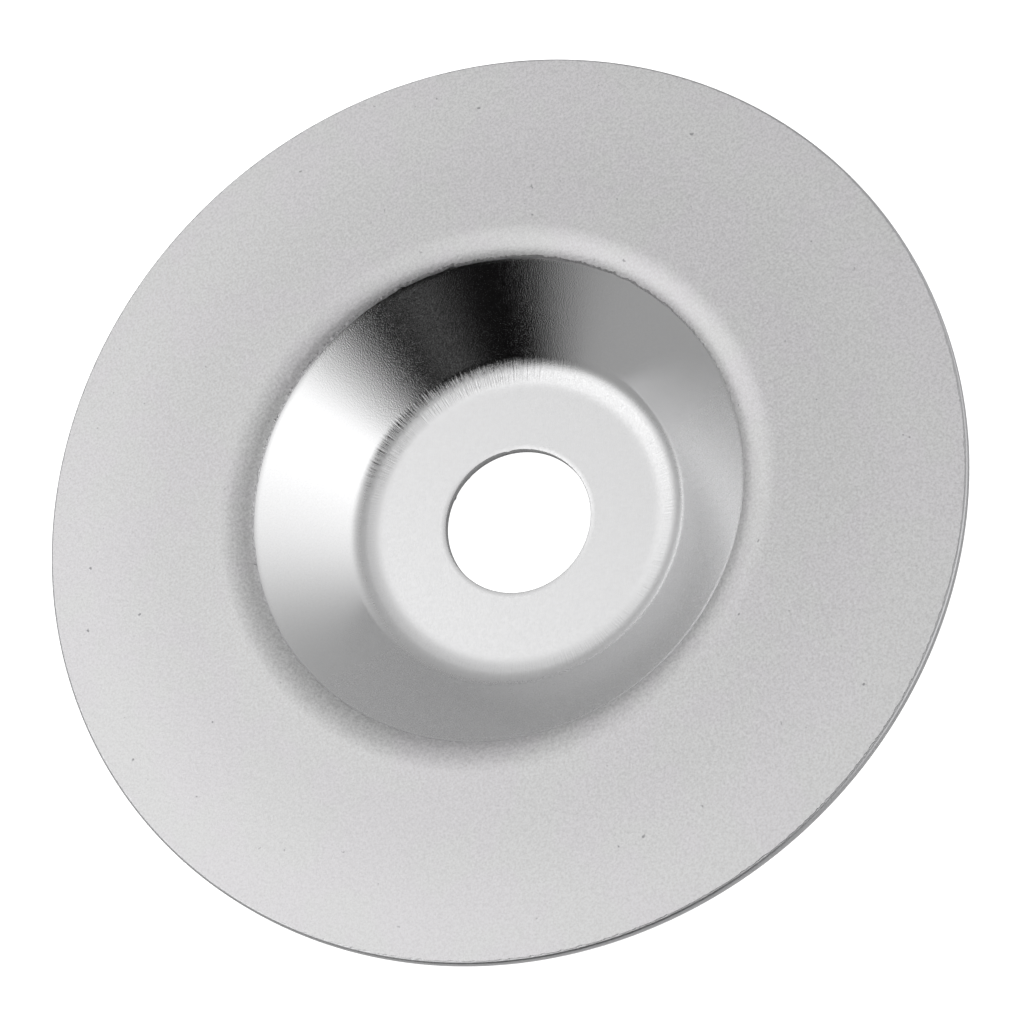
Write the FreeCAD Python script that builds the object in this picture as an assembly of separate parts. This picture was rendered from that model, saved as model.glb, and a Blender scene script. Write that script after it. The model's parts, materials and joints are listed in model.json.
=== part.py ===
import FreeCAD, Part
import math
import os

# Dish-shaped electroplated diamond grinding wheel, 100 mm across, for a 16 mm spigot.
# One sheet-steel pressing (hub, cone wall, flat annulus) carries a nickel bond, and the bond
# holds a layer of diamond grit. Nothing moves: the wheel turns only as one with its spindle.
# Frame: +Z is the wheel's axis and points out of the recessed working side.
# The origin is the centre of the bore at the back face of the hub. All sizes are millimetres.

# Steel pressing
WHEEL_R = 50.0            # outside radius
BORE_R = 8.1              # spindle bore, a clearance hole for a 16 mm spigot
SHEET_T = 1.0             # sheet thickness
BORE_EDGE_R = 0.1         # rolled-over edges of the punched bore
RIM_EDGE_R = 0.2          # rolled-over back edge of the rim
RIM_FRONT_R = 0.3         # rounded front edge of the rim
FACE_Z = 10.5             # height of the steel annulus's front face over the hub's back face
CONE_FOOT_R = 17.62       # where the cone wall's front would meet the plane of the hub's front
CONE_ANGLE = 43.5         # slope of the cone wall, degrees from flat

# Each bend has a tight round next to the cone wall and an easy one that runs out into the flat.
# The blend angle is the slope where the two meet. Radii are those of the front face.
HUB_TIGHT_R = 3.5
HUB_EASY_R = 10.0
HUB_BLEND_ANGLE = 10.0
SHOULDER_TIGHT_R = 3.6
SHOULDER_EASY_R = 10.0
SHOULDER_BLEND_ANGLE = 14.0

# Coating, measured square to the steel's front face
BOND_T = 0.15             # nickel bond
GRIT_T = 0.15             # diamond grit standing in the bond
BOND_START_ANGLE = 34.0   # slope of the shoulder at the masking line, where the bond starts
GRIT_START_ANGLE = 33.0   # slope of the shoulder where the grit starts, just outside that line
GRIT_R = 49.7             # outside radius of the grit, which stops where the rim's round starts
GRIT_EDGE_R = 0.12        # round on the grit layer's outer edge


def cone_front_r(z):
    """Radius of the cone wall's front face at height z."""
    return CONE_FOOT_R + (z - SHEET_T) / math.tan(math.radians(CONE_ANGLE))


def cone_back_r(z):
    """Radius of the cone wall's back face at height z, one sheet thickness behind the front."""
    return cone_front_r(z) + SHEET_T / math.sin(math.radians(CONE_ANGLE))


def rounded_wire(corners):
    """Closed wire in the XZ plane through (r, z, round) corners, each rounded by a tangent arc."""
    points = [FreeCAD.Vector(r, 0, z) for r, z, _ in corners]
    starts, ends, arcs = [], [], []
    for i, (_, _, radius) in enumerate(corners):
        corner = points[i]
        back = (points[i - 1] - corner).normalize()
        ahead = (points[(i + 1) % len(points)] - corner).normalize()
        half_angle = back.getAngle(ahead) / 2
        reach = radius / math.tan(half_angle)
        start = corner + back * reach
        end = corner + ahead * reach
        if radius > 0:
            bisector = (back + ahead).normalize()
            middle = corner + bisector * (radius / math.sin(half_angle) - radius)
            arcs.append(Part.Arc(start, middle, end).toShape())
        else:
            arcs.append(None)
        starts.append(start)
        ends.append(end)
    edges = []
    for i, arc in enumerate(arcs):
        next_start = starts[(i + 1) % len(starts)]
        if arc is not None:
            edges.append(arc)
        if ends[i].distanceToPoint(next_start) > 1e-4:
            edges.append(Part.LineSegment(ends[i], next_start).toShape())
    return Part.Wire(Part.__sortEdges__(edges))


def turned(wire):
    """Solid of revolution of a closed wire about the wheel's axis."""
    solid = Part.Face(wire).revolve(FreeCAD.Vector(0, 0, 0), FreeCAD.Vector(0, 0, 1), 360)
    return solid if solid.Volume > 0 else solid.reversed()


def bend(foot_r, foot_z, side, tight_r, easy_r, blend_angle):
    """A bend's two (r, z, round) corners, cone side first. The foot is where the cone wall's line
    meets the flat's, and side is 1 for a flat that runs outwards from there, -1 for inwards."""
    slope = math.radians(CONE_ANGLE)
    blend = math.radians(blend_angle)
    length = tight_r * math.tan((slope - blend) / 2) + easy_r * math.tan(blend / 2)
    down = side * length * math.sin(blend) / math.sin(slope)
    along = side * length * math.sin(slope - blend) / math.sin(slope)
    return [(foot_r - down * math.cos(slope), foot_z - down * math.sin(slope), tight_r),
            (foot_r + along, foot_z, easy_r)]


def hub_bend(foot_r, foot_z, offset):
    """Corners of the bend at the hub, at a distance off the front face."""
    return bend(foot_r, foot_z, -1, HUB_TIGHT_R - offset, HUB_EASY_R - offset, HUB_BLEND_ANGLE)


def shoulder_bend(foot_r, foot_z, offset):
    """Corners of the bend at the shoulder, at a distance off the front face."""
    return bend(foot_r, foot_z, 1, SHOULDER_TIGHT_R + offset, SHOULDER_EASY_R + offset,
                SHOULDER_BLEND_ANGLE)


def disc_body():
    """Pressed steel dish of even thickness: flat hub, cone wall, rounded shoulder, flat annulus."""
    face_back_z = FACE_Z - SHEET_T
    return turned(rounded_wire([
        (BORE_R, 0, BORE_EDGE_R),
        (BORE_R, SHEET_T, BORE_EDGE_R),
        *reversed(hub_bend(cone_front_r(SHEET_T), SHEET_T, 0)),
        *shoulder_bend(cone_front_r(FACE_Z), FACE_Z, 0),
        (WHEEL_R, FACE_Z, RIM_FRONT_R),
        (WHEEL_R, face_back_z, RIM_EDGE_R),
        *reversed(shoulder_bend(cone_back_r(face_back_z), face_back_z, -SHEET_T)),
        *hub_bend(cone_back_r(0), 0, -SHEET_T),
    ]))


def tilted(length, angle):
    """Vector of a given length, leaning inwards from upright by an angle."""
    tilt = math.radians(angle)
    return FreeCAD.Vector(-length * math.sin(tilt), 0, length * math.cos(tilt))


def shoulder_point(offset, angle):
    """Point over the shoulder, a given distance off the steel's front and angle from upright."""
    _, (corner_r, _, _) = shoulder_bend(cone_front_r(FACE_Z), FACE_Z, 0)
    reach = SHOULDER_EASY_R * math.tan(math.radians(SHOULDER_BLEND_ANGLE / 2))
    easy_centre = FreeCAD.Vector(corner_r + reach, 0, FACE_Z - SHOULDER_EASY_R)
    tight_centre = easy_centre + tilted(SHOULDER_EASY_R - SHOULDER_TIGHT_R, SHOULDER_BLEND_ANGLE)
    if angle > SHOULDER_BLEND_ANGLE:
        return tight_centre + tilted(SHOULDER_TIGHT_R + offset, angle)
    return easy_centre + tilted(SHOULDER_EASY_R + offset, angle)


def layer(inner_offset, outer_offset, start_angle, rim_edges):
    """One coat over the shoulder and the annulus, between two distances off the steel. rim_edges
    close its outside, from the end of its outer face to the end of its inner one."""
    def arc(offset, from_angle, to_angle):
        return Part.Arc(shoulder_point(offset, from_angle),
                        shoulder_point(offset, (from_angle + to_angle) / 2),
                        shoulder_point(offset, to_angle)).toShape()

    def face(offset, end):
        return [arc(offset, start_angle, SHOULDER_BLEND_ANGLE),
                arc(offset, SHOULDER_BLEND_ANGLE, 0),
                Part.LineSegment(shoulder_point(offset, 0), end).toShape()]

    start = Part.LineSegment(shoulder_point(outer_offset, start_angle),
                             shoulder_point(inner_offset, start_angle)).toShape()
    edges = [start] + rim_edges
    edges += face(outer_offset, rim_edges[0].Vertexes[0].Point)
    edges += face(inner_offset, rim_edges[-1].Vertexes[-1].Point)
    return turned(Part.Wire(Part.__sortEdges__(edges)))


def edge_round(centre_r, centre_z, radius):
    """Ends and middle of a convex quarter round, from its top to its outside."""
    middle = radius * math.sqrt(0.5)
    return (FreeCAD.Vector(centre_r, 0, centre_z + radius),
            FreeCAD.Vector(centre_r + middle, 0, centre_z + middle),
            FreeCAD.Vector(centre_r + radius, 0, centre_z))


def nickel_bond():
    """Nickel bond from the masking line on the shoulder out over the rim's round."""
    centre_r = WHEEL_R - RIM_FRONT_R
    outer = edge_round(centre_r, FACE_Z + BOND_T - RIM_FRONT_R, RIM_FRONT_R)
    inner = edge_round(centre_r, FACE_Z - RIM_FRONT_R, RIM_FRONT_R)
    return layer(0, BOND_T, BOND_START_ANGLE, [
        Part.Arc(*outer).toShape(),
        Part.LineSegment(outer[2], inner[2]).toShape(),
        Part.Arc(inner[2], inner[1], inner[0]).toShape(),
    ])


def diamond_grit():
    """Envelope of the diamond grains that stand in the bond."""
    low_z = FACE_Z + BOND_T
    outer = edge_round(GRIT_R - GRIT_EDGE_R, low_z + GRIT_T - GRIT_EDGE_R, GRIT_EDGE_R)
    foot = FreeCAD.Vector(GRIT_R, 0, low_z)
    return layer(BOND_T, BOND_T + GRIT_T, GRIT_START_ANGLE, [
        Part.Arc(*outer).toShape(),
        Part.LineSegment(outer[2], foot).toShape(),
    ])


NODES = {
    "disc_body": disc_body,
    "nickel_bond": nickel_bond,
    "diamond_grit": diamond_grit,
}


def main():
    os.makedirs("parts", exist_ok=True)
    for name, make in NODES.items():
        shape = make()
        print(name, "valid", shape.isValid(), "volume", round(shape.Volume, 1), "solids", len(shape.Solids))
        shape.exportStep(f"parts/{name}.step")


main()
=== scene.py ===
import json
import math

import bpy
import numpy as np
from mathutils import Matrix, Vector


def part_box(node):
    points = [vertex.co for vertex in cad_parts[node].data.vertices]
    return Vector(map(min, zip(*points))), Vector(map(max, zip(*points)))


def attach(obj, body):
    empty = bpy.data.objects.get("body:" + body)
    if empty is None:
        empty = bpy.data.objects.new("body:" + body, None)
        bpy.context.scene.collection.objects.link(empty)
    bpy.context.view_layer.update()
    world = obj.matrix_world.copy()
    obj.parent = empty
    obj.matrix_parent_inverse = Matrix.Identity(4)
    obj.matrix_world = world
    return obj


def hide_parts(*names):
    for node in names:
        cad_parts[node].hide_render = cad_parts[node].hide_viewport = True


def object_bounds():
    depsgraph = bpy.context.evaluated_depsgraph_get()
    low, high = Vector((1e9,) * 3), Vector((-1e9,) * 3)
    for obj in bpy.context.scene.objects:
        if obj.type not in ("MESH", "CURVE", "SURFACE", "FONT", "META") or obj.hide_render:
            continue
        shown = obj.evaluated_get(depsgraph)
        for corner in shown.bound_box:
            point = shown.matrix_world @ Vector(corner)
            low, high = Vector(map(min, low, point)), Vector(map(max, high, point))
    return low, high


# Dish-shaped electroplated diamond grinding wheel. Sizes are millimetres unless a name says
# otherwise, and mesh_object() turns them into Blender's metres. Azimuths are degrees about +Z.
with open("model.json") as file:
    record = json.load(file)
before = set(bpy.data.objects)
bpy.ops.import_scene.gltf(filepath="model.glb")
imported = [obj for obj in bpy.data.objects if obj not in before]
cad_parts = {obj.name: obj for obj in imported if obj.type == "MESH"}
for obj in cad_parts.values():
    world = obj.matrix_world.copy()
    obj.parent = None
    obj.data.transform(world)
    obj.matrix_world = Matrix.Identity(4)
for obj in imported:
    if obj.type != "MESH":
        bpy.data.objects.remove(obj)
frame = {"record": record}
cad_box = [list(corner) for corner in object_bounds()]

MM = 0.001
MOUNTS = {mount["name"]: mount for mount in frame["record"]["mounts"]}
WHEEL_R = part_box("disc_body")[1][0] / MM
FACE_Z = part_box("disc_body")[1][2] / MM
BORE_R = MOUNTS["bore"]["dims"]["r_mm"]
SHEET_T = MOUNTS["hub_front_seat"]["pos_m"][2] / MM
COAT_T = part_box("diamond_grit")[1][2] / MM - FACE_Z
BOND_T = COAT_T / 2

# Profile of the pressing, as the frame has it. A bend has a tight round next to the cone wall
# and an easy one that runs out into the flat; the blend is the slope where the two meet.
BORE_EDGE_R = 0.1
RIM_BACK_R = 0.2
RIM_FRONT_R = 0.3
CONE_FOOT_R = 17.62                  # where the cone wall's front would meet the hub's front
CONE_SLOPE = math.radians(43.5)
HUB_TIGHT_R = 3.5
HUB_EASY_R = 10.0
HUB_BLEND = math.radians(10.0)
SHOULDER_TIGHT_R = 3.6
SHOULDER_EASY_R = 10.0
SHOULDER_BLEND = math.radians(14.0)

# Coating
BOND_START = math.radians(34.0)      # slope of the shoulder at the masking line
GRIT_START = math.radians(33.0)      # slope where the grit starts
GRIT_R = WHEEL_R - RIM_FRONT_R       # the grit stops where the rim's round starts
GRIT_RINGS = 92
GRIT_SEGMENTS = 1000
GRIT_LEVEL = 0.97                    # height of the lowest grain, as a share of the tallest
GRIT_JITTER = 0.42                   # how far a grain strays from its place, in grid steps
GRIT_EDGE_STRAY = 0.04               # how far the grit's inner edge strays by itself
GRIT_EDGE_LEVEL = 0.9                # height of the grit's inner edge, as a share of the bond's
GRIT_FOOT_LEVEL = 0.6                # height of its foot inside the bond, likewise
EDGE_FADE = 3.0                      # distance over which the masking line's stray fades out

SEGMENTS = 920                       # steps round the steel
BOND_SEGMENTS = 1440                 # steps round the bond, finer for its ragged edge

rng = np.random.default_rng(1)


# Outlines ------------------------------------------------------------------------------------

def cone_front_r(z):
    """Radius of the cone wall's front at height z."""
    return CONE_FOOT_R + (z - SHEET_T) / math.tan(CONE_SLOPE)


def cone_back_r(z):
    """Radius of the cone wall's back at height z, one sheet thickness behind the front."""
    return cone_front_r(z) + SHEET_T / math.sin(CONE_SLOPE)


def rounded_outline(corners):
    """Closed (r, z) outline. Each corner is (r, z, round, arc_steps, run_points): its tangent
    arc, then the points on the run to the next corner, closer together near the run's ends."""
    places = [np.array(corner[:2], dtype=float) for corner in corners]
    arcs = []
    for i, (_, _, radius, arc_steps, _) in enumerate(corners):
        corner = places[i]
        back = places[i - 1] - corner
        ahead = places[(i + 1) % len(places)] - corner
        back /= np.linalg.norm(back)
        ahead /= np.linalg.norm(ahead)
        half_angle = math.acos(np.clip(back @ ahead, -1, 1)) / 2
        bisector = (back + ahead) / np.linalg.norm(back + ahead)
        centre = corner + bisector * radius / math.sin(half_angle)
        start = corner + back * radius / math.tan(half_angle) - centre
        end = corner + ahead * radius / math.tan(half_angle) - centre
        sweep = math.atan2(start[0] * end[1] - start[1] * end[0], start @ end)
        arcs.append([])
        for step in range(arc_steps + 1):
            turn = sweep * step / arc_steps
            arcs[-1].append(centre + np.array([
                start[0] * math.cos(turn) - start[1] * math.sin(turn),
                start[0] * math.sin(turn) + start[1] * math.cos(turn)]))
    meets_next = [np.allclose(arc[-1], arcs[(i + 1) % len(arcs)][0]) for i, arc in enumerate(arcs)]
    points = []
    for i, arc in enumerate(arcs):
        points.extend(arc[:-1] if meets_next[i] else arc)
        start = arc[-1]
        end = arcs[(i + 1) % len(arcs)][0]
        run_points = corners[i][4]
        for step in range(1, run_points + 1):
            share = (1 - math.cos(math.pi * step / (run_points + 1))) / 2
            points.append(start + (end - start) * share)
    return np.array(points)


def outline_normals(points):
    """Unit normals of a closed outline that runs anticlockwise in (r, z), pointing outwards."""
    along = np.roll(points, -1, axis=0) - np.roll(points, 1, axis=0)
    normals = np.stack([along[:, 1], -along[:, 0]], axis=1)
    return normals / np.linalg.norm(normals, axis=1, keepdims=True)


def tilted(length, slope):
    """(r, z) step of a given length, leaning inwards from upright by a slope."""
    return np.array([-length * np.sin(slope), length * np.cos(slope)])


def bend(foot_r, foot_z, side, tight, easy, blend):
    """A bend's two corners for rounded_outline(), cone side first. The foot is where the cone
    wall's line meets the flat's. side is 1 for a flat that runs outwards from there, -1 for
    inwards. tight and easy are (round, arc_steps)."""
    length = tight[0] * math.tan((CONE_SLOPE - blend) / 2) + easy[0] * math.tan(blend / 2)
    down = side * length * math.sin(blend) / math.sin(CONE_SLOPE)
    along = side * length * math.sin(CONE_SLOPE - blend) / math.sin(CONE_SLOPE)
    return [(foot_r - down * math.cos(CONE_SLOPE), foot_z - down * math.sin(CONE_SLOPE), *tight),
            (foot_r + along, foot_z, *easy)]


def shoulder_centres():
    """(r, z) centres of the shoulder's tight and easy rounds."""
    corners = bend(cone_front_r(FACE_Z), FACE_Z, 1,
                   (SHOULDER_TIGHT_R, 0), (SHOULDER_EASY_R, 0), SHOULDER_BLEND)
    reach = SHOULDER_EASY_R * math.tan(SHOULDER_BLEND / 2)
    easy = np.array([corners[1][0] + reach, FACE_Z - SHOULDER_EASY_R])
    return easy + tilted(SHOULDER_EASY_R - SHOULDER_TIGHT_R, SHOULDER_BLEND), easy


def shoulder_point(offset, slope):
    """(r, z) over the shoulder, at an offset from the steel's front and a slope from flat."""
    tight_centre, easy_centre = shoulder_centres()
    tight = slope > SHOULDER_BLEND
    radius = np.where(tight, SHOULDER_TIGHT_R, SHOULDER_EASY_R) + offset
    r = np.where(tight, tight_centre[0], easy_centre[0]) - radius * np.sin(slope)
    z = np.where(tight, tight_centre[1], easy_centre[1]) + radius * np.cos(slope)
    return r, z


def steel_outline():
    """Outline of the pressing, anticlockwise from the back of the hub's bend."""
    back_z = FACE_Z - SHEET_T
    hub_back = bend(cone_back_r(0), 0, -1,
                    (HUB_TIGHT_R + SHEET_T, 7), (HUB_EASY_R + SHEET_T, 3), HUB_BLEND)
    hub_front = bend(cone_front_r(SHEET_T), SHEET_T, -1,
                     (HUB_TIGHT_R, 12), (HUB_EASY_R, 6), HUB_BLEND)
    top_back = bend(cone_back_r(back_z), back_z, 1,
                    (SHOULDER_TIGHT_R - SHEET_T, 5), (SHOULDER_EASY_R - SHEET_T, 3), SHOULDER_BLEND)
    top_front = bend(cone_front_r(FACE_Z), FACE_Z, 1,
                     (SHOULDER_TIGHT_R, 9), (SHOULDER_EASY_R, 3), SHOULDER_BLEND)
    return rounded_outline([
        (*hub_back[1], 0),
        (*hub_back[0], 6),
        (*top_back[0], 0),
        (*top_back[1], 6),
        (WHEEL_R, FACE_Z - SHEET_T, RIM_BACK_R, 3, 1),
        (WHEEL_R, FACE_Z, RIM_FRONT_R, 3, 2),
        (*top_front[1], 0),
        (*top_front[0], 12),
        (*hub_front[0], 0),
        (*hub_front[1], 5),
        (BORE_R, SHEET_T, BORE_EDGE_R, 3, 1),
        (BORE_R, 0, BORE_EDGE_R, 2, 4),
    ])


def coat_point(distance, offset, start_slope):
    """(r, z) on a coat: a distance outwards along the steel from start_slope, at an offset."""
    tight_length = SHOULDER_TIGHT_R * (start_slope - SHOULDER_BLEND)
    flat_start = tight_length + SHOULDER_EASY_R * SHOULDER_BLEND
    tight_slope = start_slope - distance / SHOULDER_TIGHT_R
    easy_slope = SHOULDER_BLEND - (distance - tight_length) / SHOULDER_EASY_R
    slope = np.where(distance < tight_length, tight_slope, np.clip(easy_slope, 0, None))
    r, z = shoulder_point(offset, slope)
    return r + np.clip(distance - flat_start, 0, None), z


def coat_length(start_slope, end_r):
    """Length along the steel from start_slope on the shoulder to a radius on the annulus."""
    tight_length = SHOULDER_TIGHT_R * (start_slope - SHOULDER_BLEND)
    round_length = tight_length + SHOULDER_EASY_R * SHOULDER_BLEND
    return round_length + end_r - shoulder_point(0, 0.0)[0]


# Meshes --------------------------------------------------------------------------------------

def ring_mesh(name, r, z, psi, smooth=True):
    """Closed ring from (rings, segments) arrays: a grid that closes round and through itself."""
    rings, segments = r.shape
    co = np.stack([r * np.cos(psi), r * np.sin(psi), z], axis=-1).reshape(-1, 3) * MM
    i, j = np.meshgrid(np.arange(rings), np.arange(segments), indexing="ij")
    next_i = (i + 1) % rings
    next_j = (j + 1) % segments
    quads = np.stack([i * segments + j, i * segments + next_j,
                      next_i * segments + next_j, next_i * segments + j], axis=-1).reshape(-1, 4)
    return mesh_object(name, co, quads, smooth)


def mesh_object(name, co, faces, smooth):
    """Object at the origin from metre coordinates and an array of equal-sided faces."""
    mesh = bpy.data.meshes.new(name)
    corners = faces.shape[1]
    mesh.vertices.add(len(co))
    mesh.vertices.foreach_set("co", co.astype(np.float32).ravel())
    mesh.loops.add(faces.size)
    mesh.loops.foreach_set("vertex_index", faces.astype(np.int32).ravel())
    mesh.polygons.add(len(faces))
    mesh.polygons.foreach_set("loop_start", np.arange(0, faces.size, corners, dtype=np.int32))
    mesh.update(calc_edges=True)
    mesh.validate()
    mesh.polygons.foreach_set("use_smooth", np.full(len(faces), smooth))
    piece = bpy.data.objects.new(name, mesh)
    bpy.context.collection.objects.link(piece)
    return piece


NOISE_ROLL_OFF = 2.2                 # larger is smoother


def smooth_noise(count, feature, generator):
    """Periodic noise round a ring with features about `feature` steps wide, from -1 to 1."""
    white = generator.standard_normal(count)
    k = np.fft.rfftfreq(count) * feature
    shaped = np.fft.irfft(np.fft.rfft(white) * np.exp(-(k * NOISE_ROLL_OFF) ** 2), count)
    return shaped / np.abs(shaped).max()


def bump_at(psi, azimuth, width):
    """Bell of height 1 about an azimuth, with a half width in degrees."""
    away = (np.degrees(psi) - azimuth + 180) % 360 - 180
    return np.exp(-(away / width) ** 2)


# Steel dish ----------------------------------------------------------------------------------

SCORED_SIDE = math.radians(85.0)     # where the die has scored the hub's edge most
SPECKLED_SIDE = math.radians(65.0)   # where the cone wall's polish is speckled
DIE_MARKS = 240
DIE_MARK_DEPTH = 0.003
DIE_MARK_R = (16.2, 17.6)            # where the marks start
DIE_MARK_LENGTH = (0.4, 1.6)
DIE_MARK_SPREAD = 35                 # standard deviation about the scored side, degrees
DIE_MARK_WIDTH = (0.35, 0.8)         # half width of one mark, degrees
DIE_MARK_FADE_IN = 0.4
DIE_MARK_FADE_OUT = 0.8
MARKED_UPRIGHT = 0.3                 # marks lie where a normal's upward part is more than this

# Burrs in the bore: azimuth, half width in degrees, reach inwards, height over the hub's back
BURRS = ((115.0, 1.6, 0.13, 0.25), (58.0, 2.6, 0.16, 0.80), (96.0, 1.2, 0.05, 0.2))
BURR_HALF_HEIGHT = 0.25
BURR_DEPTH = 0.06                    # burrs move only what is this near to the bore's wall


def die_marks(r, psi):
    """Height of the fine radial marks that the die leaves on the hub's turned-up edge."""
    height = np.zeros((len(r), len(psi)))
    for _ in range(DIE_MARKS):
        centre = rng.normal(math.degrees(SCORED_SIDE), DIE_MARK_SPREAD)
        width = rng.uniform(*DIE_MARK_WIDTH)
        start = rng.uniform(*DIE_MARK_R)
        length = rng.uniform(*DIE_MARK_LENGTH)
        depth = DIE_MARK_DEPTH * rng.uniform(-1, 1)
        fade_in = np.clip((r - start) / DIE_MARK_FADE_IN, 0, 1)
        fade_out = np.clip((start + length - r) / DIE_MARK_FADE_OUT, 0, 1)
        along = fade_in * fade_out
        height += depth * along[:, None] * bump_at(psi, centre, width)[None, :]
    return height


def make_steel():
    """The pressed dish, with its die marks and the burrs in its bore."""
    outline = steel_outline()
    normals = outline_normals(outline)
    psi = np.arange(SEGMENTS) * 2 * math.pi / SEGMENTS
    marks_end = DIE_MARK_R[1] + DIE_MARK_LENGTH[1]
    front = (normals[:, 1] > MARKED_UPRIGHT) & (outline[:, 0] < marks_end)
    height = np.zeros((len(outline), SEGMENTS))
    height[front] = die_marks(outline[front, 0], psi)
    r = outline[:, 0, None] + normals[:, 0, None] * height
    z = outline[:, 1, None] + normals[:, 1, None] * height
    for azimuth, width, reach, level in BURRS:
        near = np.exp(-((outline[:, 1] - level) / BURR_HALF_HEIGHT) ** 2)
        near *= outline[:, 0] < BORE_R + BURR_DEPTH
        r -= reach * near[:, None] * bump_at(psi, azimuth, width)[None, :]
    return ring_mesh("steel_dish", r, z, psi[None, :])


# Coating -------------------------------------------------------------------------------------

# Stray of the masking line: reach, and about how many waves there are round the wheel
MASK_STRAY = ((0.04, 60), (0.025, 360), (0.02, 720))
MASK_SEED = 7
# Notches in it: azimuth, half width in degrees, reach outwards
MASK_NOTCHES = ((5.5, 0.9, 0.08), (17.5, 1.6, 0.08), (22.0, 0.8, 0.10), (40.5, 1.2, 0.10),
                (51.0, 2.2, -0.08), (62.0, 1.4, 0.18), (74.5, 1.0, 0.16), (171.0, 1.2, 0.08))

NODULE = 0.006                       # height of the nickel's nodules
BOND_SUNK = 0.02                     # how far the bond's underside is sunk into the steel
BOND_LIP = 0.03                      # how far above the end of the steel's rim round it stops
BOND_FINE_END = 3.5                  # the bond's rows are close together up to this distance
BOND_EDGE = 0.08                     # distance over which its inner edge rises to full height
BOND_STEP = 0.14                     # row spacing next to that edge
BOND_FINE_ROWS = 10
RIM_ROWS = (80, 65, 50, 35, 20, 0)   # angles over the horizontal of the rows on the rim's round


def masking_line(psi):
    """How far the coat's inner edge strays outwards from its circle, all the way round."""
    count = len(psi)
    generator = np.random.default_rng(MASK_SEED)
    stray = np.zeros(count)
    for reach, waves in MASK_STRAY:
        stray += reach * smooth_noise(count, count / waves, generator)
    for azimuth, width, reach in MASK_NOTCHES:
        stray += reach * bump_at(psi, azimuth, width)
    return stray


def make_bond():
    """Nickel bond: a thin shell whose inner edge follows the masking line and whose outer edge
    is rounded over the rim."""
    psi = np.arange(BOND_SEGMENTS) * 2 * math.pi / BOND_SEGMENTS
    length = coat_length(BOND_START, WHEEL_R - RIM_FRONT_R)
    stray = masking_line(psi)
    top = [(0.0, -BOND_SUNK), (0.0, 0.5 * BOND_T), (0.03, 0.85 * BOND_T), (BOND_EDGE, BOND_T)]
    top += [(BOND_EDGE + BOND_STEP * step, BOND_T) for step in range(1, BOND_FINE_ROWS + 1)]
    top += [(BOND_FINE_END, BOND_T), (length - 1.0, BOND_T), (length, BOND_T)]
    nodules = NODULE * rng.standard_normal((len(top), BOND_SEGMENTS))
    rows = []
    for row, (distance, offset) in enumerate(top):
        fade = max(0.0, 1 - distance / EDGE_FADE)
        lowered = NODULE * (offset > 0.9 * BOND_T)
        lift = nodules[row] * max(0.0, offset / BOND_T) * fade - lowered
        rows.append(coat_point(distance + stray * fade, offset + lift, BOND_START))
    for angle in np.radians(RIM_ROWS):
        corner = tilted(RIM_FRONT_R - NODULE, angle - math.pi / 2)
        rows.append((WHEEL_R - RIM_FRONT_R + corner[0], FACE_Z + BOND_T - RIM_FRONT_R + corner[1]))
    rows.append((WHEEL_R - NODULE, FACE_Z - RIM_FRONT_R + BOND_LIP))
    for distance in (length, BOND_FINE_END, 2.6, 1.3, 0.6):
        fade = max(0.0, 1 - distance / EDGE_FADE)
        rows.append(coat_point(distance + stray * fade, -BOND_SUNK, BOND_START))
    r = np.array([row[0] + np.zeros(BOND_SEGMENTS) for row in rows])
    z = np.array([row[1] + np.zeros(BOND_SEGMENTS) for row in rows])
    return ring_mesh("nickel_bond_coat", r[::-1], z[::-1], psi[None, :])


def make_grit():
    """Diamond grit: one crust with a small facet for each grain."""
    psi = np.arange(GRIT_SEGMENTS) * 2 * math.pi / GRIT_SEGMENTS
    length = coat_length(GRIT_START, GRIT_R)
    bond_psi = np.arange(BOND_SEGMENTS) * 2 * math.pi / BOND_SEGMENTS
    stray = np.interp(psi, bond_psi, masking_line(bond_psi))
    step = length / (GRIT_RINGS - 1)
    distance = np.linspace(0, length, GRIT_RINGS)[:, None] + np.zeros(GRIT_SEGMENTS)
    jitter = rng.uniform(-GRIT_JITTER, GRIT_JITTER, distance.shape)
    distance = np.clip(distance + jitter * step, 0, length)
    fade = np.clip(1 - distance / EDGE_FADE, 0, 1)
    distance = distance + (stray + GRIT_EDGE_STRAY * rng.uniform(-1, 1, GRIT_SEGMENTS)) * fade
    jitter = rng.uniform(-GRIT_JITTER, GRIT_JITTER, distance.shape)
    turn = psi + jitter * 2 * math.pi / GRIT_SEGMENTS
    height = rng.uniform(GRIT_LEVEL, 1.0, distance.shape)
    offset = BOND_T + (COAT_T - BOND_T) * height
    offset[0] = BOND_T * GRIT_EDGE_LEVEL
    r_top, z_top = coat_point(distance, offset, GRIT_START)
    r_top = np.clip(r_top, 0, GRIT_R)
    r_foot, z_foot = coat_point(distance[[0, -1]], BOND_T * GRIT_FOOT_LEVEL, GRIT_START)
    r_foot = np.clip(r_foot, 0, GRIT_R)
    r = np.concatenate([r_foot[:1], r_top, r_foot[1:]])
    z = np.concatenate([z_foot[:1], z_top, z_foot[1:]])
    turn = np.concatenate([turn[:1], turn, turn[-1:]])
    return ring_mesh("diamond_grit_crust", r[::-1], z[::-1], turn[::-1], smooth=False)


# Materials -----------------------------------------------------------------------------------

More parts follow.
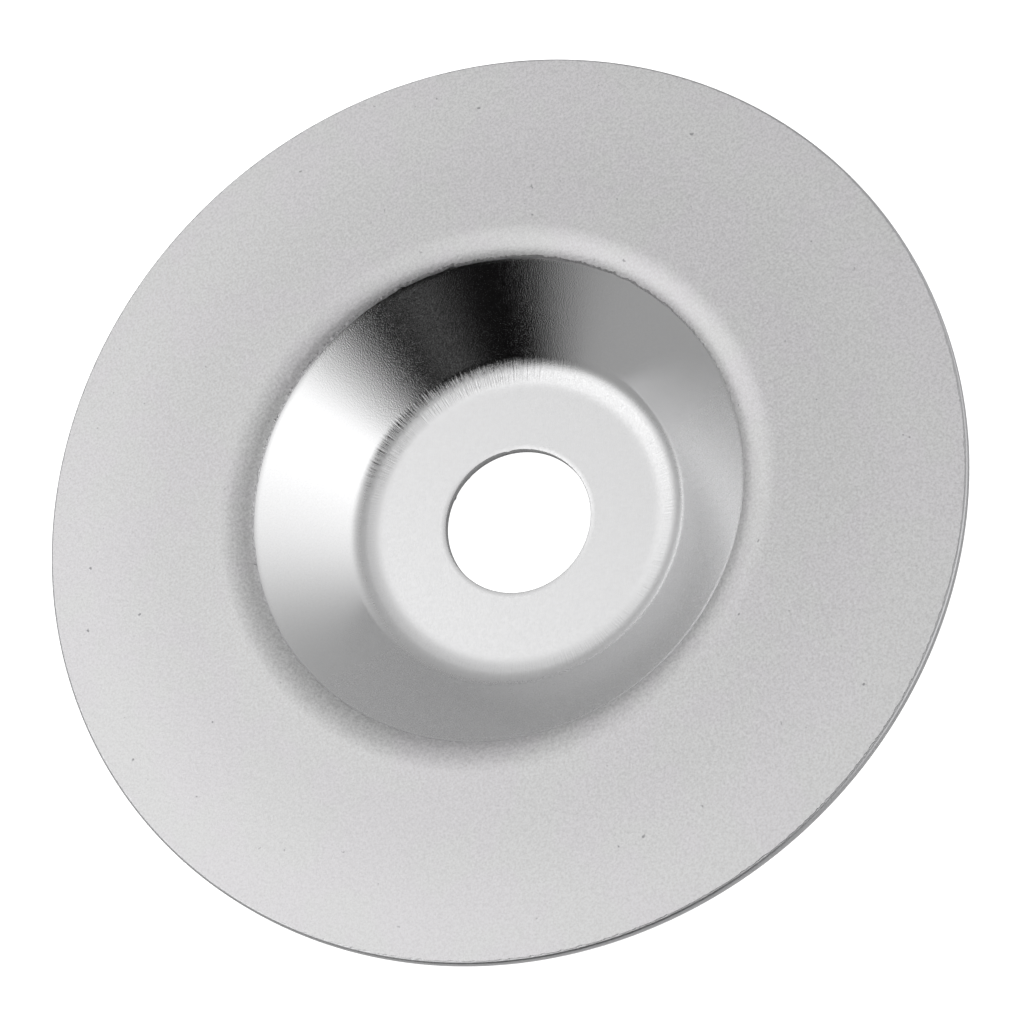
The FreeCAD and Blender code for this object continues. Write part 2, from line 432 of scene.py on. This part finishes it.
class Nodes:
    """A material's or a world's node tree, with one call for each kind of node used here."""

    def __init__(self, tree):
        self.tree = tree
        self.tree.nodes.clear()

    def add(self, kind, inputs=None, **settings):
        node = self.tree.nodes.new(kind)
        for key, value in settings.items():
            setattr(node, key, value)
        for key, value in (inputs or {}).items():
            self.put(node.inputs[key], value)
        return node

    def put(self, socket, value):
        if isinstance(value, bpy.types.NodeSocket):
            self.tree.links.new(value, socket)
        else:
            socket.default_value = value

    def maths(self, operation, a, b, clamp=False):
        node = self.add("ShaderNodeMath", {0: a, 1: b}, operation=operation, use_clamp=clamp)
        return node.outputs[0]

    def vector(self, operation, a, b=(0.0, 0.0, 0.0)):
        node = self.add("ShaderNodeVectorMath", {0: a, 1: b}, operation=operation)
        return node.outputs["Value" if operation in ("LENGTH", "DOT_PRODUCT") else "Vector"]

    def remap(self, value, low, high, to_low=0.0, to_high=1.0):
        return self.add("ShaderNodeMapRange", {
            "Value": value, "From Min": low, "From Max": high, "To Min": to_low, "To Max": to_high,
        }, interpolation_type="SMOOTHSTEP").outputs["Result"]

    def noise(self, vector, scale, detail, roughness):
        return self.add("ShaderNodeTexNoise", {
            "Vector": vector, "Scale": scale, "Detail": detail, "Roughness": roughness,
        }).outputs[0]

    def mix(self, factor, a, b):
        return self.add("ShaderNodeMix", {"Factor": factor, 6: a, 7: b}, data_type="RGBA").outputs[2]

    def mix_values(self, factor, a, b):
        return self.add("ShaderNodeMix", {"Factor": factor, 2: a, 3: b}).outputs[0]

    def bump(self, height, distance, normal=None):
        inputs = {"Height": height, "Distance": distance, "Strength": 1.0}
        if normal is not None:
            inputs["Normal"] = normal
        return self.add("ShaderNodeBump", inputs).outputs["Normal"]


# Where in a noise's range a finish runs from one end to the other
NOISE_SPAN = (0.3, 0.7)
WIDE_NOISE_SPAN = (0.25, 0.75)

# Each pair is a radius where a steel finish is absent, then one where it is full
POLISH_IN = (17.2, 18.5)             # from the satin hub to the polished wall
POLISH_OUT = (45.0, 40.0)            # under the coat, so that the rim's edge is satin again
SCORED_IN = (15.6, 16.8)
SCORED_OUT = (18.9, 17.9)

SCORE_STRAY = 3.0                    # how far the marks push the polish's edge about
SCORE_BUMP = 0.09
SPECKLE_BUMP = 0.022

SATIN_ROUGH = (0.36, 0.46)
POLISH_ROUGH = (0.08, 0.24)          # on the scored side, and opposite it
BACK_ROUGH = (0.26, 0.38)
NICKEL_ROUGH = (0.28, 0.40)
GRIT_ROUGH = (0.40, 0.50)

STEEL_COLOURS = ((0.83, 0.83, 0.835, 1), (0.88, 0.88, 0.885, 1))
BACK_COLOURS = ((0.70, 0.70, 0.71, 1), (0.80, 0.80, 0.81, 1))
NICKEL_COLOURS = ((0.66, 0.66, 0.67, 1), (0.78, 0.78, 0.79, 1))
GRIT_PALE = ((0.850, 0.850, 0.850, 1), (0.854, 0.843, 0.857, 1))
GRIT_DARK = ((0.590, 0.590, 0.590, 1), (0.593, 0.585, 0.595, 1))
GRIT_SPECK = (0.36, 0.36, 0.37, 1)
# Floor colour under the dish, a painted shadow, then the plain floor colour outside it.
FLOOR_PAINTED_SHADOW_COLOURS = ((0.54, 0.54, 0.54, 1), (0.90, 0.90, 0.90, 1))


def new_material(name):
    material = bpy.data.materials.new(name)
    material.use_nodes = True
    return material, Nodes(material.node_tree)


def finish_material(nodes, **inputs):
    """Principled shader with the given inputs, wired to the output."""
    shader = nodes.add("ShaderNodeBsdfPrincipled")
    for name, value in inputs.items():
        nodes.put(shader.inputs[name.replace("_", " ")], value)
    output = nodes.add("ShaderNodeOutputMaterial")
    nodes.tree.links.new(shader.outputs["BSDF"], output.inputs["Surface"])


def polar(nodes):
    """The point in millimetres, its distance from the axis, and its direction from the axis."""
    position = nodes.add("ShaderNodeTexCoord").outputs["Object"]
    point = nodes.vector("MULTIPLY", position, (1 / MM, 1 / MM, 1 / MM))
    flat = nodes.vector("MULTIPLY", point, (1.0, 1.0, 0.0))
    radius = nodes.vector("LENGTH", flat)
    direction = nodes.vector("NORMALIZE", flat)
    return point, radius, direction


def side_cosine(nodes, direction, azimuth):
    """Cosine of the angle between a direction from the axis and an azimuth in radians."""
    return nodes.vector("DOT_PRODUCT", direction, (math.cos(azimuth), math.sin(azimuth), 0.0))


def streaks(nodes, radius, direction, fineness, stretch):
    """Noise drawn out along the radius: fine round the axis, long outwards from it."""
    around = nodes.vector("MULTIPLY", direction, (fineness, fineness, 0.0))
    outwards = nodes.add("ShaderNodeCombineXYZ", {"Z": nodes.maths("MULTIPLY", radius, stretch)})
    return nodes.noise(nodes.vector("ADD", around, outwards.outputs[0]), 1.0, 3.0, 0.6)


def steel_front_material():
    """Satin hub that turns, along a ragged line of radial marks, into a polished cone wall. The
    wall is speckled on one side and duller on the side opposite the marks."""
    material, nodes = new_material("pressed_steel_front")
    point, radius, direction = polar(nodes)
    marks = streaks(nodes, radius, direction, 95.0, 0.25)
    facing = side_cosine(nodes, direction, SCORED_SIDE)
    scoring = nodes.remap(facing, 0.70, 0.95, 0.25, 1.0)
    stray = nodes.maths("MULTIPLY", nodes.maths("SUBTRACT", marks, 0.5), scoring)
    ragged = nodes.maths("ADD", radius, nodes.maths("MULTIPLY", stray, SCORE_STRAY))
    polish_in = nodes.remap(ragged, *POLISH_IN)
    polished = nodes.maths("MULTIPLY", polish_in, nodes.remap(radius, *POLISH_OUT))
    speckled = nodes.remap(side_cosine(nodes, direction, SPECKLED_SIDE), 0.70, 0.86)
    speckle = nodes.maths("MULTIPLY", nodes.noise(point, 8.0, 1.0, 0.6), speckled)
    grain = nodes.noise(point, 5.5, 3.0, 0.65)
    satin_rough = nodes.remap(grain, *NOISE_SPAN, *SATIN_ROUGH)
    dulled = nodes.remap(facing, 0.35, -0.25, *POLISH_ROUGH)
    polish_rough = nodes.maths("ADD", dulled, nodes.remap(grain, *NOISE_SPAN, 0.0, 0.04))
    rough = nodes.mix_values(polished, satin_rough, polish_rough)
    colour = nodes.mix(nodes.remap(grain, *WIDE_NOISE_SPAN), *STEEL_COLOURS)
    scored_in = nodes.remap(radius, *SCORED_IN)
    on_round = nodes.maths("MULTIPLY", scored_in, nodes.remap(radius, *SCORED_OUT))
    depth = nodes.maths("MULTIPLY", nodes.maths("MULTIPLY", marks, scoring), on_round)
    scored = nodes.bump(depth, SCORE_BUMP * MM)
    relief = nodes.maths("MULTIPLY", speckle, polished)
    normal = nodes.bump(relief, SPECKLE_BUMP * MM, normal=scored)
    finish_material(nodes, Base_Color=colour, Roughness=rough, Normal=normal, Metallic=1.0)
    return material


def steel_back_material():
    """Satin steel of the unseen side, with faint turning marks."""
    material, nodes = new_material("pressed_steel_back")
    point, radius, direction = polar(nodes)
    marks = streaks(nodes, radius, direction, 18.0, 6.0)
    grain = nodes.noise(point, 5.0, 3.0, 0.6)
    rough = nodes.remap(marks, *WIDE_NOISE_SPAN, *BACK_ROUGH)
    colour = nodes.mix(nodes.remap(grain, *WIDE_NOISE_SPAN), *BACK_COLOURS)
    normal = nodes.bump(grain, 0.006 * MM, normal=nodes.bump(marks, 0.01 * MM))
    finish_material(nodes, Base_Color=colour, Roughness=rough, Normal=normal, Metallic=1.0)
    return material


def bond_material():
    """Satin nickel with a fine nodular grain."""
    material, nodes = new_material("nickel_plate")
    point, _, _ = polar(nodes)
    grain = nodes.noise(point, 7.0, 4.0, 0.7)
    colour = nodes.mix(nodes.remap(grain, *NOISE_SPAN), *NICKEL_COLOURS)
    normal = nodes.bump(grain, 0.02 * MM)
    rough = nodes.remap(grain, *NOISE_SPAN, *NICKEL_ROUGH)
    finish_material(nodes, Base_Color=colour, Roughness=rough, Normal=normal, Metallic=1.0)
    return material


def grit_material():
    """Pale grey abrasive, a little paler towards the rim, which is painted light: fine grain,
    faint patches of tint, a few dark grains."""
    material, nodes = new_material("diamond_abrasive")
    point, radius, _ = polar(nodes)
    grain = nodes.noise(point, 3.5, 4.0, 0.8)
    # Paler towards the rim: painted light laid into the colour, not the grit's own tone.
    painted_rim_light = nodes.remap(radius, 34.0, 48.0, 0.0, 0.20)
    patches = nodes.noise(point, 0.14, 2.0, 0.6)
    specks = nodes.noise(point, 1.1, 2.0, 0.5)
    tinted = nodes.remap(patches, 0.42, 0.58)
    pale = nodes.mix(tinted, *GRIT_PALE)
    dark = nodes.mix(tinted, *GRIT_DARK)
    # Paleness is the grit's random grain plus the painted light towards the rim.
    grain_and_painted_rim_light = nodes.maths("ADD", nodes.remap(grain, *NOISE_SPAN), painted_rim_light, clamp=True)
    grained = nodes.mix(grain_and_painted_rim_light, dark, pale)
    colour = nodes.mix(nodes.remap(specks, 0.73, 0.79), grained, GRIT_SPECK)
    normal = nodes.bump(grain, 0.006 * MM)
    rough = nodes.remap(grain, *NOISE_SPAN, *GRIT_ROUGH)
    finish_material(nodes, Base_Color=colour, Roughness=rough, Normal=normal, Metallic=0.95)
    return material


def floor_material():
    """Plain floor that shows white. The steel mirrors it as pale outside and grey under the dish,
    where its colour is a painted shadow.
    """
    material, nodes = new_material("studio_floor")
    seen = nodes.add("ShaderNodeLightPath").outputs["Is Camera Ray"]
    _, radius, _ = polar(nodes)
    # Painted shadow: grey under the dish, fading out to the plain pale floor by 50 mm.
    colour = nodes.mix(nodes.remap(radius, 30.0, 50.0), *FLOOR_PAINTED_SHADOW_COLOURS)
    finish_material(nodes, Base_Color=colour, Roughness=1.0,
                    Emission_Color=(1, 1, 1, 1), Emission_Strength=seen)
    return material


# Stage ---------------------------------------------------------------------------------------

FLOOR_R_M = 6.0
FLOOR_STEPS = 96
BACKGROUND = 1.0                     # what the camera sees behind everything
AMBIENT = 0.36                       # even level all round
DARKEST = 0.004                      # least level that a dark flag leaves
# Soft studio lights: azimuth, elevation, sharpness, strength. The last one is a dark flag.
LIGHTS = (
    (117, 60, 24, 1.34),             # large softbox behind the wheel, mirrored by hub and coat
    (155, 66, 20, 0.90),             # its neighbour, mirrored by the bends on the +X side
    (303, 28, 12, 0.80),             # softbox beside the camera, the bright part of the wall
    (340, 18, 8, 0.60),              # its neighbour, which carries that part on towards -X
    (90, 20, 6, 0.08),               # low fill behind the wheel
    (234, 28, 8, -1.10),             # flag beside the camera, the dark part of the wall
)
GLEAM = (243, 30, 150, 0.15)         # a small light in front of that flag
CAMERA_FLAG = (0.955, 0.985)         # cosines off the camera where its own flag starts and is full
CAMERA_FLAG_LEVEL = 0.05             # share of the light that the camera's flag lets through

CAMERA_AZIMUTH = -90.0
CAMERA_ELEVATION = 64.53
CAMERA_ROLL = 41.62
CAMERA_DISTANCE_M = 0.350
CAMERA_AIM = (0.17, 1.36, 0.65)      # the point the camera looks at
CAMERA_LENS = 114.43
SENSOR_WIDTH = 36.0


def direction(azimuth, elevation):
    """Unit vector towards an azimuth and elevation in degrees."""
    psi = math.radians(azimuth)
    rise = math.radians(elevation)
    return Vector((math.cos(psi) * math.cos(rise), math.sin(psi) * math.cos(rise), math.sin(rise)))


def make_floor():
    """A wide round floor at the lowest point of the wheel."""
    psi = np.arange(FLOOR_STEPS) * 2 * math.pi / FLOOR_STEPS
    height = np.full(FLOOR_STEPS, cad_box[0][2])
    rim = np.stack([np.cos(psi) * FLOOR_R_M, np.sin(psi) * FLOOR_R_M, height], axis=1)
    centre = np.array([[0, 0, cad_box[0][2]]])
    faces = np.array([[FLOOR_STEPS, i, (i + 1) % FLOOR_STEPS] for i in range(FLOOR_STEPS)])
    floor = mesh_object("studio_floor", np.concatenate([rim, centre]), faces, False)
    floor.data.materials.append(floor_material())


def lobe(nodes, towards, azimuth, elevation, sharpness, strength):
    """Soft spot of light in the surroundings."""
    facing = nodes.vector("DOT_PRODUCT", towards, tuple(direction(azimuth, elevation)))
    spot = nodes.maths("POWER", nodes.maths("MAXIMUM", facing, 0.0), sharpness)
    return nodes.maths("MULTIPLY", spot, strength)


def make_world():
    """Studio light from all round: an even level, bright lobes, a dark flag and the camera's own."""
    world = bpy.data.worlds.new("studio")
    bpy.context.scene.world = world
    world.use_nodes = True
    nodes = Nodes(world.node_tree)
    towards = nodes.add("ShaderNodeTexCoord").outputs["Generated"]
    level = AMBIENT
    for light in LIGHTS:
        level = nodes.maths("ADD", level, lobe(nodes, towards, *light))
    level = nodes.maths("MAXIMUM", level, DARKEST)
    level = nodes.maths("ADD", level, lobe(nodes, towards, *GLEAM))
    lens = nodes.vector("DOT_PRODUCT", towards, tuple(direction(CAMERA_AZIMUTH, CAMERA_ELEVATION)))
    level = nodes.maths("MULTIPLY", level, nodes.remap(lens, *CAMERA_FLAG, 1.0, CAMERA_FLAG_LEVEL))
    seen = nodes.add("ShaderNodeLightPath").outputs["Is Camera Ray"]
    shown = nodes.mix_values(seen, level, BACKGROUND)
    background = nodes.add("ShaderNodeBackground", {"Color": (1, 1, 1, 1), "Strength": shown})
    output = nodes.add("ShaderNodeOutputWorld")
    nodes.tree.links.new(background.outputs[0], output.inputs["Surface"])


def make_camera():
    """Camera over the wheel's -Y side, rolled so that the wheel's axis leans to the upper left."""
    data = bpy.data.cameras.new("camera")
    data.lens = CAMERA_LENS
    data.sensor_width = SENSOR_WIDTH
    data.clip_start = 0.01
    camera = bpy.data.objects.new("camera", data)
    away = direction(CAMERA_AZIMUTH, CAMERA_ELEVATION)
    level_turn = away.to_track_quat("Z", "Y").to_matrix().to_4x4()
    roll = Matrix.Rotation(math.radians(-CAMERA_ROLL), 4, "Z")
    aim = Vector(CAMERA_AIM) * MM
    camera.matrix_world = Matrix.Translation(aim + away * CAMERA_DISTANCE_M) @ level_turn @ roll
    bpy.context.collection.objects.link(camera)
    bpy.context.scene.camera = camera


# Assembly ------------------------------------------------------------------------------------

BACK_FACING = -0.1                   # faces whose normals point further down are back ones
BORE_WALL = 0.05                     # but faces this near to the bore's radius are front ones


def paint_steel(steel):
    """Front finish on the faces that look out of the dish, back finish on the rest."""
    steel.data.materials.append(steel_front_material())
    steel.data.materials.append(steel_back_material())
    count = len(steel.data.polygons)
    normals = np.empty(count * 3, dtype=np.float32)
    centres = np.empty(count * 3, dtype=np.float32)
    steel.data.polygons.foreach_get("normal", normals)
    steel.data.polygons.foreach_get("center", centres)
    normals = normals.reshape(-1, 3)
    centres = centres.reshape(-1, 3)
    radius = np.hypot(centres[:, 0], centres[:, 1]) / MM
    back = (normals[:, 2] < BACK_FACING) & (radius > BORE_R + BORE_WALL)
    steel.data.polygons.foreach_set("material_index", back.astype(np.int32))


def declare(piece, node):
    """Piece rides on the one body and stands for a CAD node, whose own mesh is hidden."""
    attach(piece, "root")
    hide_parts(node)


def main():
    steel = make_steel()
    paint_steel(steel)
    declare(steel, "disc_body")
    bond = make_bond()
    bond.data.materials.append(bond_material())
    declare(bond, "nickel_bond")
    grit = make_grit()
    grit.data.materials.append(grit_material())
    declare(grit, "diamond_grit")
    make_floor()
    make_world()
    make_camera()
    bpy.context.scene.view_settings.view_transform = "Standard"


main()
